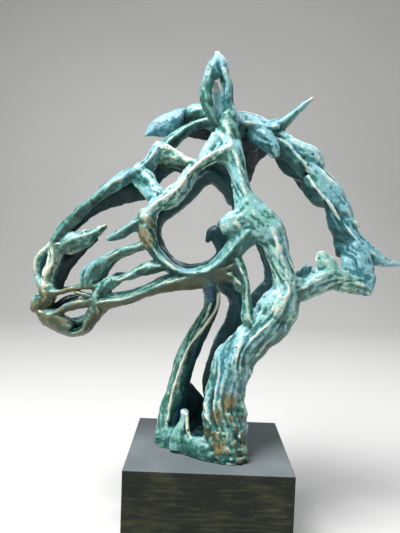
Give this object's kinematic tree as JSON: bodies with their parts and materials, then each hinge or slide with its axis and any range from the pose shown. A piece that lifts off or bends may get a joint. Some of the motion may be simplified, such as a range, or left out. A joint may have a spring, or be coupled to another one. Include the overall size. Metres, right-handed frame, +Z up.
{
  "type": "horse head sculpture",
  "caption": "Openwork cast bronze horse head with a curved mane, one pierced ear and a hollow neck, on a plain rectangular stone block.",
  "frame": {"origin": "middle of the stone block's underside", "axes": "+Z up, the horse faces -X, its left side faces -Y"},
  "size_m": [0.4679, 0.17, 0.618],
  "materials": {
    "bronze": "satin",
    "stone": "matte"
  },
  "bodies": {
    "root": {"horse_head": "bronze", "plinth": "stone"}
  },
  "joints": []
}
